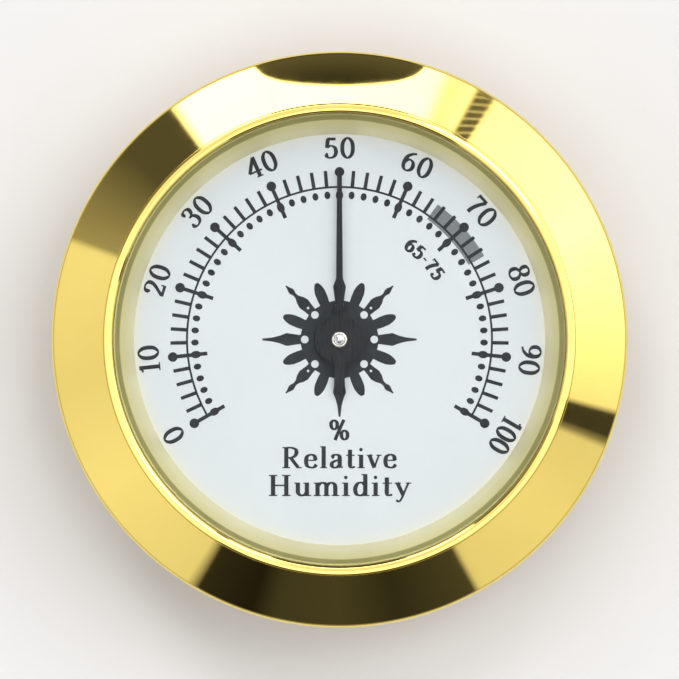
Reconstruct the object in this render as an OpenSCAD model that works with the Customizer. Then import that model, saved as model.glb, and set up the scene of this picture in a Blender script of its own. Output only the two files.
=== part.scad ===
// Dial hygrometer: a round press-in gauge for a humidor, cabinet or case.
// A hollow plated bezel clamps a flat glass on a drawn rear case. A strip coil
// that winds and unwinds with humidity turns a light pointer over the dial, and
// a slotted screw in the back turns the coil's outer end to calibrate it.
// Origin: on the axis, in the plane of the bezel's seating face.
// +Z points out of the dial, +Y points to the middle of the scale.
// Units: millimetres.

/* [Bezel] */
// Outer diameter of the bezel
bezel_d = 45; // [45:0.5:48]
// Slope of the bezel's face below horizontal, in degrees
face_angle = 20; // [18:1:22]
// Height of the straight edge at the rim
rim_h = 0.9; // [0.8:0.05:1.1]
// Wall thickness of the hollow bezel
bezel_wall = 0.7; // [0.5:0.05:0.75]
// Clear opening over the dial
aperture_d = 35.2; // [34.6:0.1:35.4]

/* [Rear case] */
// Outer diameter of the case body, which goes into the hole
case_d = 37; // [36.8:0.1:37.6]
// Depth of the case behind the seating face
case_depth = 9.5; // [9.5:0.1:12]
// Number of round vents in the case's floor
vent_count = 8; // [6:1:12]
// Diameter of each vent
vent_d = 2.8; // [2:0.1:3.2]
// Diameter of the circle that the vents lie on
vent_circle_d = 24; // [22:0.5:25]

/* [Glass and dial] */
// Thickness of the glass
lens_t = 1; // [0.8:0.05:1]
// Depth of the dial's face behind the seating face
dial_drop = 1; // [0.9:0.05:1.1]
// Width of the sloped trim ring seen around the dial
trim_w = 1.4; // [0.7:0.1:1.6]

/* [Pointer] */
// Length of the pointer from the axis to its tip
pointer_len = 13.3; // [12:0.1:15]
// Length of the pointer's tail from the axis
tail_len = 4.4; // [3.5:0.1:6]
// Width of the pointer where it leaves its disc
pointer_w = 0.62; // [0.5:0.02:0.9]

/* [Movement] */
// Number of turns of the strip coil
coil_turns = 5; // [4:1:6]
// Thickness of the coil's strip
strip_t = 0.25; // [0.2:0.01:0.28]
// Width of the coil's strip
strip_w = 2.5; // [2:0.1:2.6]
// Radial clearance of each journal in its bearing
journal_gap = 0.05; // [0.03:0.01:0.08]
// Diameter of the calibration screw's head
screw_head_d = 4.4; // [4:0.1:4.8]

/* [Hidden] */
$fn = 96;

fit = 0.02;                          // radial gap of parts that are pressed together

// Bezel and glass, radii then heights
R = bezel_d / 2;
edge_r = 0.45;                       // rounding of the bezel's outer edge
bead_r = 0.42;                       // half width of the rounded lip
Ra = aperture_d / 2;
Rc = case_d / 2;
case_wall = 0.5;
Rci = Rc - case_wall;
Rn = Rc - 0.2;                       // neck that the bezel is pressed over
neck_z = -0.05;                      // its shoulder, just behind the seating face
Rb = Rn + fit;                       // bore of the bezel's skirt
Rs = Rb + 0.68;                      // outside of the skirt
mouth_z = 0.8;                       // top of the case's mouth
gasket_t = 0.3;
lens_z0 = mouth_z + gasket_t;
shelf_z = lens_z0 + lens_t;          // underside of the lip, on the glass
edge_c = [R - edge_r, rim_h];
face_t = [edge_c[0] + edge_r * sin(face_angle), edge_c[1] + edge_r * cos(face_angle)];
face_q = [Ra + 2 * bead_r - 0.05,
          face_t[1] + (face_t[0] - (Ra + 2 * bead_r - 0.05)) * tan(face_angle)];
lip_z = face_q[1] + 0.2;             // top of the lip
bead_c = [Ra + bead_r, lip_z - bead_r];
function face_z(r) = face_t[1] + (face_t[0] - r) * tan(face_angle);
function under_z(r) = face_z(r) - bezel_wall / cos(face_angle);

// Dial stack
dial_r = Rci - 0.1;
dial_z = -dial_drop;                 // the printed side of the dial
card_t = 0.15;
plate_t = 0.5;
plate_z1 = dial_z - card_t;
plate_z0 = plate_z1 - plate_t;       // underside of the dial plate
trim_r = Ra - 0.1 - trim_w;          // clear radius of the trim ring at the dial

// Rear case
z_foot = -case_depth;                // what the case stands on
panel_lift = 0.4;                    // the floor's middle is pressed in by this
z_panel = z_foot + panel_lift;       // its outer surface
z_floor = z_panel + case_wall;       // its inner surface
corner_r = 0.9;
access_r = screw_head_d / 2 + 0.4;

// Movement, levels counted up from the floor and down from the dial plate
foot_t = 0.5;
head_z0 = z_panel + 0.15;            // face of the screw's head, just inside the panel
head_t = 0.9;
strap_z0 = head_z0 + head_t + 0.45;  // back of the bridge's strap
strap_z1 = strap_z0 + 0.5;
arm_z0 = strap_z1;
arm_t = 0.5;
arm_z1 = arm_z0 + arm_t;
leg_x = 8.4;                         // inside of each leg of the bridge
leg_t = 0.5;
leg_w = 5;
rivet_x = 10.7;
rivet_r = 0.55;
coil_z0 = arm_z1 + 1.1;
coil_z1 = coil_z0 + strip_w;
coil_r0 = 1.6;                       // middle of the strip at its inner end
coil_r1 = 7;                         // and at the stud
coil_steps = 28;                     // flats in each turn
collet_r = 1.3;
journal_r = 0.4;
pivot_r = 0.2;
staff_r = 0.5;
screw_shank_r = 1.2;
shank_z1 = arm_z1 + 0.1;             // staked over the arm
hub_z0 = dial_z + 0.25;
hub_z1 = hub_z0 + 0.35;              // the pointer rests here
pointer_t = 0.2;
hub_top = hub_z1 + 0.5;

// A ring between two radii and two heights
module ring(r0, r1, z0, z1) {
    translate([0, 0, z0]) difference() {
        cylinder(r = r1, h = z1 - z0);
        translate([0, 0, -1]) cylinder(r = r0, h = z1 - z0 + 2);
    }
}

// A solid disc between two heights
module disc(r, z0, z1) { translate([0, 0, z0]) cylinder(r = r, h = z1 - z0); }

// Hollow plated ring: rounded rim, sloped face, rounded lip over the glass,
// and a skirt that grips the neck of the case
module bezel() {
    color([0.86, 0.70, 0.30]) rotate_extrude($fn = 180) difference() {
        union() {
            polygon([[Rb, 0], [R, 0], [R, rim_h], face_t, face_q,
                     [bead_c[0], face_q[1]], bead_c, [Ra, bead_c[1]],
                     [Ra, shelf_z], [Rb, shelf_z]]);
            translate(edge_c) circle(r = edge_r);
            translate(bead_c) circle(r = bead_r);
        }
        polygon([[Rs, -1], [R - bezel_wall, -1],
                 [R - bezel_wall, under_z(R - bezel_wall)], [Rs, under_z(Rs)]]);
        translate([Rb - 2, shelf_z - 3]) square([2, 3]);
    }
}

// Flat glass with a ground edge
module lens() {
    c = 0.12;
    r = Rb - 0.1;
    color([0.92, 0.96, 0.96, 0.35]) rotate_extrude($fn = 180)
        polygon([[0, lens_z0], [r - c, lens_z0], [r, lens_z0 + c],
                 [r, shelf_z - c], [r - c, shelf_z], [0, shelf_z]]);
}

// Soft ring between the glass and the case's mouth
module lens_gasket() {
    color([0.09, 0.09, 0.09]) ring(Ra + 0.05, Rn - 0.05, mouth_z, lens_z0);
}

// Sloped ring between the glass and the dial
module trim_ring() {
    color([0.85, 0.72, 0.36]) rotate_extrude($fn = 180)
        polygon([[trim_r, dial_z], [Rci - 0.05, dial_z], [Rci - 0.05, mouth_z],
                 [Ra - 0.1, mouth_z], [trim_r, dial_z + 0.12]]);
}

// Printed face, glued to the dial plate
module dial_face() {
    color([0.90, 0.91, 0.92]) ring(1.3, dial_r, plate_z1, dial_z);
}

// Plate that carries the movement
module dial_plate() {
    color([0.72, 0.73, 0.74]) difference() {
        disc(dial_r, plate_z0, plate_z1);
        disc(1.2, plate_z0 - 1, plate_z1 + 1);
        for (s = [-1, 1]) translate([s * rivet_x, 0, 0]) {
            disc(rivet_r + fit, plate_z0 - 1, plate_z1 + 1);
            translate([0, 0, plate_z1 - 0.25]) cylinder(r1 = rivet_r + fit, r2 = 0.95, h = 0.25);
        }
    }
}

// Front bearing, pressed into the plate from behind
module front_bush() {
    color([0.80, 0.62, 0.28]) difference() {
        union() {
            disc(1.2 - fit, plate_z0, dial_z - 0.05);
            disc(2, plate_z0 - 0.4, plate_z0);
        }
        disc(journal_r + journal_gap, plate_z0 - 1, dial_z + 1);
    }
}

// U-shaped bridge that carries the calibration screw behind the coil
module bridge() {
    foot_end = rivet_x + 1.9;
    color([0.74, 0.75, 0.76]) difference() {
        union() {
            for (s = [-1, 1]) {
                translate([s > 0 ? leg_x : -foot_end, -leg_w / 2, plate_z0 - foot_t])
                    cube([foot_end - leg_x, leg_w, foot_t]);
                translate([s > 0 ? leg_x : -leg_x - leg_t, -leg_w / 2, strap_z0])
                    cube([leg_t, leg_w, plate_z0 - strap_z0]);
            }
            translate([-leg_x - leg_t, -leg_w / 2, strap_z0])
                cube([2 * (leg_x + leg_t), leg_w, strap_z1 - strap_z0]);
            disc(3.1, strap_z0, strap_z1);
        }
        disc(screw_shank_r + journal_gap, strap_z0 - 1, strap_z1 + 1);
        for (s = [-1, 1]) translate([s * rivet_x, 0, 0])
            disc(rivet_r + fit, plate_z0 - foot_t - 1, plate_z0 + 1);
    }
}

// Two rivets, flush under the printed face and headed behind the bridge's feet
module bridge_rivets() {
    zb = plate_z0 - foot_t;
    color([0.78, 0.79, 0.80]) for (s = [-1, 1]) translate([s * rivet_x, 0, 0])
        rotate_extrude($fn = 48)
            polygon([[0, zb - 0.4], [0.85, zb - 0.4], [1.1, zb - 0.2], [1.1, zb],
                     [rivet_r, zb], [rivet_r, plate_z1 - 0.25],
                     [0.92, plate_z1 - 0.01], [0, plate_z1 - 0.01]]);
}

// Tube between the case's floor and the dial plate
module spacer_sleeve() {
    z0 = z_foot + case_wall;
    color([0.08, 0.08, 0.08]) rotate_extrude($fn = 120)
        polygon([[Rci - 0.8, z0], [Rci - 0.55, z0], [Rci - 0.05, z0 + 0.5],
                 [Rci - 0.05, plate_z0], [Rci - 0.8, plate_z0]]);
}

// Drawn case: open mouth with a turned-down neck, rounded corner, pressed-in
// floor with vents and the access hole for the calibration screw
module rear_case() {
    color([0.83, 0.68, 0.33]) difference() {
        rotate_extrude($fn = 180) difference() {
            union() {
                polygon([[0, z_panel], [15.5, z_panel], [16, z_foot],
                         [Rc - corner_r, z_foot], [Rc - corner_r, z_foot + corner_r],
                         [Rc, z_foot + corner_r], [Rc, neck_z], [Rn, neck_z],
                         [Rn, mouth_z], [0, mouth_z]]);
                translate([Rc - corner_r, z_foot + corner_r]) circle(r = corner_r);
            }
            union() {
                polygon([[-1, z_floor], [15.8, z_floor], [16.3, z_foot + case_wall],
                         [Rci - 0.4, z_foot + case_wall], [Rci - 0.4, z_foot + case_wall + 0.4],
                         [Rci, z_foot + case_wall + 0.4], [Rci, mouth_z + 1], [-1, mouth_z + 1]]);
                translate([Rci - 0.4, z_foot + case_wall + 0.4]) circle(r = 0.4);
            }
        }
        disc(access_r, z_foot - 1, z_floor + 1);
        for (i = [0 : vent_count - 1]) rotate(i * 360 / vent_count + 180 / vent_count)
            translate([vent_circle_d / 2, 0, 0]) disc(vent_d / 2, z_foot - 1, z_floor + 1);
    }
}

// Shouldered screw with a slotted head; its front end is the arbor's rear bearing
module calibration_screw() {
    color([0.80, 0.62, 0.28]) difference() {
        union() {
            rotate_extrude($fn = 72)
                polygon([[0, head_z0], [screw_head_d / 2 - 0.15, head_z0],
                         [screw_head_d / 2, head_z0 + 0.15],
                         [screw_head_d / 2, head_z0 + head_t], [0, head_z0 + head_t]]);
            disc(screw_shank_r, head_z0 + head_t - 0.1, shank_z1);
        }
        translate([-screw_head_d, -0.35, head_z0 - 1]) cube([2 * screw_head_d, 0.7, 1.5]);
        disc(pivot_r + journal_gap, shank_z1 - 0.8, shank_z1 + 1);
    }
}

// Dished washer that gives the screw its drag
module spring_washer() {
    z0 = head_z0 + head_t;
    z1 = strap_z0;
    color([0.70, 0.71, 0.72]) rotate_extrude($fn = 72)
        polygon([[screw_shank_r + 0.1, z0], [screw_shank_r + 0.35, z0],
                 [screw_head_d / 2 - 0.1, z1 - 0.14], [screw_head_d / 2 - 0.1, z1],
                 [screw_head_d / 2 - 0.3, z1], [screw_shank_r + 0.1, z0 + 0.14]]);
}

// Arm staked on the screw; its end meets the bridge's legs beyond its travel
module regulator_arm() {
    color([0.76, 0.77, 0.78]) difference() {
        union() {
            disc(2.2, arm_z0, arm_z1);
            translate([-0.9, 0, arm_z0]) cube([1.8, 8, arm_t]);
            translate([0, 7.9, 0]) disc(0.9, arm_z0, arm_z1);
        }
        disc(screw_shank_r + fit, arm_z0 - 1, arm_z1 + 1);
        translate([0, coil_r1, 0]) disc(0.4 + fit, arm_z0 - 1, arm_z1 + 1);
    }
}

// Slit post on the arm that holds the coil's outer end
module coil_stud() {
    color([0.80, 0.62, 0.28]) difference() {
        translate([0, coil_r1, 0]) union() {
            disc(0.65, arm_z1, coil_z1 + 0.35);
            disc(0.4, arm_z0, arm_z1);
        }
        translate([-2, coil_r1 - strip_t / 2 - 0.08, coil_z0 - 0.05])
            cube([4, strip_t + 0.13, 6]);
        translate([0, coil_r1 + 0.35, coil_z0 + strip_w / 2]) rotate([0, 90, 0])
            cylinder(r = 0.13, h = 4, center = true);
    }
}

// Taper pin that locks the strip in the stud
module coil_pin() {
    color([0.70, 0.71, 0.72]) translate([0, coil_r1 + 0.35, coil_z0 + strip_w / 2])
        rotate([0, 90, 0]) cylinder(r1 = 0.11, r2 = 0.10, h = 1.9, center = true);
}

// Middle line of the strip: angle a counts back from the stud
function coil_r(a) = coil_r1 - (coil_r1 - coil_r0) * a / (360 * coil_turns);
function on_coil(a, side) = let (r = coil_r(a) + side * strip_t / 2)
    [r * sin(a), r * cos(a)];

// Humidity-sensing strip, wound in a flat spiral; the inner end is bent into
// the collet's slit and the outer end passes through the stud
module strip_coil() {
    last = 360 * coil_turns;
    n = coil_turns * coil_steps;
    turn = [for (i = [-1 : n]) max(i * 360 / coil_steps, -6)];
    h = strip_t / 2;
    function at(r, s) = [r * sin(last) + s * cos(last), r * cos(last) - s * sin(last)];
    color([0.72, 0.45, 0.25]) translate([0, 0, coil_z0]) linear_extrude(strip_w)
        polygon(concat([for (a = turn) on_coil(a, 1)],
                       [at(coil_r0 + h, h), at(collet_r - 0.5, h),
                        at(collet_r - 0.5, -h), at(coil_r0 - h, -h)],
                       [for (i = [n : -1 : 0]) on_coil(turn[i], -1)]));
}

// Slit collar that fixes the coil's inner end to the arbor
module coil_collet() {
    color([0.80, 0.62, 0.28]) difference() {
        disc(collet_r, coil_z0 - 0.3, coil_z1 + 0.2);
        disc(staff_r + fit, coil_z0 - 1, coil_z1 + 1);
        rotate(-360 * coil_turns) translate([-strip_t / 2 - 0.03, collet_r - 0.55, coil_z0 - 1])
            cube([strip_t + 0.06, 2, strip_w + 3]);
    }
}

// Staff: rear pivot in the screw, thrust collar and front journal in the bush
module arbor() {
    zp = shank_z1 + 0.1;
    color([0.66, 0.67, 0.68]) rotate_extrude($fn = 48)
        polygon([[0, shank_z1 - 0.65], [pivot_r, shank_z1 - 0.65], [pivot_r, zp],
                 [staff_r, zp], [staff_r, plate_z0 - 0.75], [0.9, plate_z0 - 0.75],
                 [0.9, plate_z0 - 0.5], [journal_r, plate_z0 - 0.5],
                 [journal_r, hub_top - 0.05], [0, hub_top - 0.05]]);
}

// Boss pressed on the arbor; its spigot holds the pointer
module pointer_hub() {
    color([0.90, 0.88, 0.80]) difference() {
        union() {
            disc(1, hub_z0, hub_z1);
            disc(0.6, hub_z1, hub_top);
        }
        disc(journal_r + fit, hub_z0 - 1, hub_top + 1);
    }
}

// Outline of a tapered blade along +Y: width w0 at the axis and w1 at its round end
module blade(w0, w1, len) {
    linear_extrude(pointer_t)
        polygon(concat([[-w0 / 2, 0], [w0 / 2, 0]],
                       [for (a = [0 : 15 : 180]) [w1 / 2 * cos(a), len - w1 / 2 * (1 - sin(a))]]));
}

// Flat blued pointer: tapered needle, round disc and paddle tail
module pointer() {
    color([0.06, 0.06, 0.07]) translate([0, 0, hub_z1]) difference() {
        union() {
            disc(1.9, 0, pointer_t);
            blade(pointer_w, 0.36, pointer_len);
            rotate(180) blade(0.64, 0.88, tail_len);
        }
        disc(0.6 + fit, -1, pointer_t + 1);
    }
}

bezel();
lens();
lens_gasket();
trim_ring();
dial_face();
dial_plate();
front_bush();
bridge();
bridge_rivets();
spacer_sleeve();
rear_case();
calibration_screw();
spring_washer();
regulator_arm();
coil_stud();
coil_pin();
strip_coil();
coil_collet();
arbor();
pointer_hub();
pointer();
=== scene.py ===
"""Looks of the dial hygrometer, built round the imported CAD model. Metres, +Z out of the dial, +Y to mid-scale."""

import math

import bmesh
import bpy
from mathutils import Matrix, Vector
from mathutils.geometry import delaunay_2d_cdt, tessellate_polygon

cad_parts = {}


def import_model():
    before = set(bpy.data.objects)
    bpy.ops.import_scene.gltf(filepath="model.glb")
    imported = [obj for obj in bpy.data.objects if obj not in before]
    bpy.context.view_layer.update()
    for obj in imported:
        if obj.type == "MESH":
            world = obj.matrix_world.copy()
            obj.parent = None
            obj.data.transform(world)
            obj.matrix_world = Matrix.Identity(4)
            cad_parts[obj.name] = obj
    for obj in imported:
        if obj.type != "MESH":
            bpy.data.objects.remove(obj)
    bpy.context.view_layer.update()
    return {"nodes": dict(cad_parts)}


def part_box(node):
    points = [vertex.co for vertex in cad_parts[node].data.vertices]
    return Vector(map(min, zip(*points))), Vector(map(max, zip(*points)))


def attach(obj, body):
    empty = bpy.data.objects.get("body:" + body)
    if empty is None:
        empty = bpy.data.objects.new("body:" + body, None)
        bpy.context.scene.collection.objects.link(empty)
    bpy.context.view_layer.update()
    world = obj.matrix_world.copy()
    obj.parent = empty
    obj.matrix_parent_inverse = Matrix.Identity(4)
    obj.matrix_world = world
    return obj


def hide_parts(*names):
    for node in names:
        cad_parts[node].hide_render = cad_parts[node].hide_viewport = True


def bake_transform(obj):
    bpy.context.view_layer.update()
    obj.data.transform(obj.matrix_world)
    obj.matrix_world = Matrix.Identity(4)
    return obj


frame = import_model()
MM = 0.001

# ---------------------------------------------------------------- levels, from the frame (mm)


def mm_box(node):
    lo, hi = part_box(node)
    return [x / MM for x in lo], [x / MM for x in hi]


BEZ_LO, BEZ_HI = mm_box("bezel")
LENS_LO, LENS_HI = mm_box("lens")
CASE_LO, CASE_HI = mm_box("rear_case")
DIAL_LO, DIAL_HI = mm_box("dial_face")
PTR_LO, PTR_HI = mm_box("pointer")
HUB_LO, HUB_HI = mm_box("pointer_hub")
ARB_LO, ARB_HI = mm_box("arbor")
SCR_LO, SCR_HI = mm_box("calibration_screw")
COIL_LO, COIL_HI = mm_box("strip_coil")
TRIM_LO, TRIM_HI = mm_box("trim_ring")

R = 22.5  # bezel
RA = 17.6  # aperture
DIAL_Z = DIAL_HI[2]
LIP_Z = BEZ_HI[2]
FLOOR_Z = CASE_LO[2]

# ---------------------------------------------------------------- mesh helpers


def mesh_object(name, bm, body, materials, replaces=(), scale=MM):
    """Writes bm, in millimetres, to a new object that rides on a body."""
    me = bpy.data.meshes.new(name)
    bmesh.ops.scale(bm, vec=(scale,) * 3, verts=bm.verts)
    bm.to_mesh(me)
    bm.free()
    for m in materials:
        me.materials.append(m)
    ob = bpy.data.objects.new(name, me)
    bpy.context.scene.collection.objects.link(ob)
    if body:
        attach(ob, body)
    if replaces:
        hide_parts(*replaces)
    return ob


def arc(cx, cz, r, a0, a1, n):
    """Points on an arc in the (r, z) plane, both ends included."""
    return [
        (
            cx + r * math.cos(math.radians(a0 + (a1 - a0) * i / n)),
            cz + r * math.sin(math.radians(a0 + (a1 - a0) * i / n)),
        )
        for i in range(n + 1)
    ]


def lathe(profile, segs=256, sharp=28.0, mat=None):
    """A solid of revolution about Z from a closed profile of (r, z). A profile that starts and ends on the axis is closed by it.
    mat(i) gives the material index of the band after point i."""
    pts = [profile[0]]
    for p in profile[1:]:
        if math.dist(p, pts[-1]) > 1e-6:
            pts.append(p)
    if math.dist(pts[0], pts[-1]) < 1e-6:
        pts.pop()
    axis = pts[0][0] < 1e-9 and pts[-1][0] < 1e-9
    bm = bmesh.new()
    rings = []
    for r, z in pts:
        if r < 1e-9:
            rings.append([bm.verts.new((0, 0, z))])
        else:
            rings.append(
                [
                    bm.verts.new(
                        (
                            r * math.cos(2 * math.pi * k / segs),
                            r * math.sin(2 * math.pi * k / segs),
                            z,
                        )
                    )
                    for k in range(segs)
                ]
            )
    n = len(pts)
    for i in range(n - 1 if axis else n):
        a, b = rings[i], rings[(i + 1) % n]
        for k in range(segs):
            k2 = (k + 1) % segs
            if len(a) == 1:
                f = bm.faces.new((a[0], b[k], b[k2]))
            elif len(b) == 1:
                f = bm.faces.new((a[k], b[0], a[k2]))
            else:
                f = bm.faces.new((a[k], b[k], b[k2], a[k2]))
            f.smooth = True
            if mat:
                f.material_index = mat(i)
    bmesh.ops.recalc_face_normals(bm, faces=bm.faces)
    # rings at a corner of the profile are sharp
    for i in range(n):
        if len(rings[i]) == 1 or (axis and i in (0, n - 1)):
            continue
        p, q, s = pts[i - 1], pts[i], pts[(i + 1) % n]
        u, v = (q[0] - p[0], q[1] - p[1]), (s[0] - q[0], s[1] - q[1])
        turn = abs(
            math.degrees(math.atan2(u[0] * v[1] - u[1] * v[0], u[0] * v[0] + u[1] * v[1]))
        )
        if turn > sharp:
            ring = rings[i]
            for k in range(segs):
                e = bm.edges.get((ring[k], ring[(k + 1) % segs]))
                if e:
                    e.smooth = False
    return bm


def prism(bm, loops, z0, z1, mat=0):
    """A flat solid: the first loop is the outline, the others are holes. Points in mm."""
    tris = tessellate_polygon([[Vector((x, y, 0)) for x, y in lp] for lp in loops])
    low, high, index = [], [], []
    for lp in loops:
        start = len(low)
        for x, y in lp:
            low.append(bm.verts.new((x, y, z0)))
            high.append(bm.verts.new((x, y, z1)))
        index.append((start, len(lp)))
    faces = []
    for a, b, c in tris:
        if len({a, b, c}) < 3:
            continue
        faces.append(bm.faces.new((high[a], high[b], high[c])))
        faces.append(bm.faces.new((low[c], low[b], low[a])))
    for start, n in index:
        for i in range(n):
            a, b = start + i, start + (i + 1) % n
            faces.append(bm.faces.new((low[a], low[b], high[b], high[a])))
    bmesh.ops.recalc_face_normals(bm, faces=faces)
    for f in faces:
        f.material_index = mat
    return faces


def disc_loop(x, y, r, n=24, a0=0.0):
    return [
        (
            x + r * math.cos(a0 + 2 * math.pi * i / n),
            y + r * math.sin(a0 + 2 * math.pi * i / n),
        )
        for i in range(n)
    ]


def evaluated(ob):
    """The object's mesh with its modifiers applied."""
    dg = bpy.context.evaluated_depsgraph_get()
    return bpy.data.meshes.new_from_object(ob.evaluated_get(dg))


def boolean(bm, other, operation, use_self=False):
    """bm with other joined or cut, by the exact solver, as a new bmesh in the same units. Both are freed."""
    obs = []
    for name, b in (("bool_a", bm), ("bool_b", other)):
        me = bpy.data.meshes.new(name)
        b.to_mesh(me)
        b.free()
        ob = bpy.data.objects.new(name, me)
        bpy.context.scene.collection.objects.link(ob)
        obs.append(ob)
    m = obs[0].modifiers.new("b", "BOOLEAN")
    m.operation, m.solver, m.object, m.use_self = operation, "EXACT", obs[1], use_self
    bpy.context.view_layer.update()
    done = evaluated(obs[0])
    out = bmesh.new()
    out.from_mesh(done)
    for ob in obs:
        me = ob.data
        bpy.data.objects.remove(ob)
        bpy.data.meshes.remove(me)
    bpy.data.meshes.remove(done)
    return out


def union_all(bm_parts):
    """One clean solid mesh from a bmesh of overlapping prisms."""
    seed = bmesh.new()
    prism(seed, [disc_loop(400, 400, 1, 8)], -1, 1)
    out = boolean(bm_parts, seed, "UNION", use_self=True)
    far = [v for v in out.verts if v.co.x > 200]
    bmesh.ops.delete(out, geom=far, context="VERTS")
    return out


def smooth_by_angle(bm, degrees=30.0):
    for f in bm.faces:
        f.smooth = True
    limit = math.radians(degrees)
    for e in bm.edges:
        if len(e.link_faces) == 2 and e.calc_face_angle(0.0) > limit:
            e.smooth = False


# ---------------------------------------------------------------- materials


class Mat:
    """A small builder of node materials: Principled plus procedural detail in the row frame's coordinates."""

    def __init__(self, name):
        self.m = bpy.data.materials.new(name)
        self.m.use_nodes = True
        self.t = self.m.node_tree
        self.t.nodes.clear()
        self.out = self.t.nodes.new("ShaderNodeOutputMaterial")
        self.p = self.t.nodes.new("ShaderNodeBsdfPrincipled")
        self.t.links.new(self.p.outputs[0], self.out.inputs["Surface"])
        self.co = self.t.nodes.new("ShaderNodeTexCoord").outputs["Object"]

    def node(self, kind, **props):
        n = self.t.nodes.new(kind)
        for k, v in props.items():
            setattr(n, k, v)
        return n

    def link(self, a, b):
        self.t.links.new(a, b)

    def feed(self, socket, value):
        if hasattr(value, "is_output") or isinstance(value, bpy.types.NodeSocket):
            self.link(value, socket)
        else:
            socket.default_value = value

    def math(self, op, a, b=0.0, c=None, clamp=False):
        n = self.node("ShaderNodeMath", operation=op, use_clamp=clamp)
        self.feed(n.inputs[0], a)
        self.feed(n.inputs[1], b)
        if c is not None:
            self.feed(n.inputs[2], c)
        return n.outputs[0]

    def scaled(self, sx, sy=None, sz=None, vector=None):
        n = self.node("ShaderNodeVectorMath", operation="MULTIPLY")
        self.link(vector or self.co, n.inputs[0])
        n.inputs[1].default_value = (sx, sy if sy is not None else sx, sz if sz is not None else sx)
        return n.outputs[0]

    def noise(self, scale, detail=3.0, rough=0.5, vector=None, distortion=0.0):
        n = self.node("ShaderNodeTexNoise")
        n.inputs["Scale"].default_value = scale
        n.inputs["Detail"].default_value = detail
        n.inputs["Roughness"].default_value = rough
        n.inputs["Distortion"].default_value = distortion
        self.link(vector or self.co, n.inputs["Vector"])
        return n.outputs["Fac"]

    def remap(self, value, f0, f1, t0, t1):
        n = self.node("ShaderNodeMapRange", clamp=True)
        self.link(value, n.inputs["Value"])
        n.inputs["From Min"].default_value = f0
        n.inputs["From Max"].default_value = f1
        n.inputs["To Min"].default_value = t0
        n.inputs["To Max"].default_value = t1
        return n.outputs["Result"]

    def smoothstep(self, value, f0, f1, t0=0.0, t1=1.0):
        n = self.node("ShaderNodeMapRange", clamp=True, interpolation_type="SMOOTHSTEP")
        self.link(value, n.inputs["Value"])
        n.inputs["From Min"].default_value = f0
        n.inputs["From Max"].default_value = f1
        n.inputs["To Min"].default_value = t0
        n.inputs["To Max"].default_value = t1
        return n.outputs["Result"]

    def mix(self, fac, a, b):
        n = self.node("ShaderNodeMix", data_type="RGBA")
        self.feed(n.inputs["Factor"], fac)
        ins = [s for s in n.inputs if s.type == "RGBA"]
        for socket, v in zip(ins, (a, b)):
            if isinstance(v, bpy.types.NodeSocket):
                self.link(v, socket)
            else:
                socket.default_value = (*v[:3], 1.0)
        return [s for s in n.outputs if s.type == "RGBA"][0]

    def radius(self):
        """Distance from the row's Z axis, in metres."""
        sep = self.node("ShaderNodeSeparateXYZ")
        self.link(self.co, sep.inputs[0])
        xx = self.math("MULTIPLY", sep.outputs[0], sep.outputs[0])
        return self.math("SQRT", self.math("MULTIPLY_ADD", sep.outputs[1], sep.outputs[1], xx))

    def cylindrical(self, per_radian=0.018):
        """Coordinates wrapped round the axis: (angle, radius, height), so a stretched noise runs round or along."""
        sep = self.node("ShaderNodeSeparateXYZ")
        self.link(self.co, sep.inputs[0])
        ang = self.math("ARCTAN2", sep.outputs[1], sep.outputs[0])
        comb = self.node("ShaderNodeCombineXYZ")
        self.link(self.math("MULTIPLY", ang, per_radian), comb.inputs[0])
        self.link(self.radius(), comb.inputs[1])
        self.link(sep.outputs[2], comb.inputs[2])
        return comb.outputs[0]

    def bump(self, height, distance, strength=1.0, normal=None):
        n = self.node("ShaderNodeBump")
        n.inputs["Strength"].default_value = strength
        n.inputs["Distance"].default_value = distance
        self.link(height, n.inputs["Height"])
        if normal is not None:
            self.link(normal, n.inputs["Normal"])
        self.link(n.outputs[0], self.p.inputs["Normal"])
        return n.outputs[0]

    def set(self, **values):
        for k, v in values.items():
            self.feed(self.p.inputs[k.replace("_", " ")], v)
        return self


def rgb(r, g, b):
    return (r, g, b, 1.0)


def gold_mirror():
    a = Mat("gold_mirror_plate")
    cloud = a.noise(150.0, 3.0)
    fine = a.noise(2600.0, 4.0, 0.6)
    col = a.mix(a.remap(cloud, 0.3, 0.7, 0, 1), rgb(0.955, 0.745, 0.205), rgb(0.925, 0.705, 0.185))
    # painted shade: a darker, duller line in the corner between the face and the lip, and under the skirt
    r = a.radius()
    line = a.math("MULTIPLY", a.smoothstep(r, 0.01834, 0.01840), a.smoothstep(r, 0.01840, 0.01846, 1.0, 0.0))
    col = a.mix(a.math("MULTIPLY", line, 0.25), col, rgb(0.30, 0.21, 0.05))
    # the wall of the lip beside the glass: rougher, as unpolished metal, and darkened in colour, a painted shade in the
    # recess
    wall = a.smoothstep(r, 0.01763, 0.01770, 1.0, 0.0)
    col = a.mix(a.math("MULTIPLY", wall, 0.80), col, rgb(0.16, 0.125, 0.035))
    smear = a.noise(420.0, 5.0, 0.6, distortion=0.6)
    rough = a.math("ADD", a.remap(smear, 0.35, 0.75, 0.028, 0.046), a.remap(fine, 0.55, 0.8, 0.0, 0.018))
    rough = a.math("ADD", rough, a.math("MULTIPLY", a.math("MAXIMUM", line, wall), 0.22))
    a.set(Metallic=1.0, Base_Color=col, Roughness=rough)
    # fine polishing lines that run round the face, over the slight waviness of plated sheet
    lines = a.noise(1.0, 2.0, 0.5, vector=a.scaled(90.0, 16000.0, 9000.0, vector=a.cylindrical()))
    wave = a.noise(170.0, 1.0, 0.4)
    h = a.math("MULTIPLY_ADD", lines, 0.05, a.math("MULTIPLY", wave, 1.0))
    a.bump(h, 0.0000035, 1.0)
    return a.m


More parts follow.
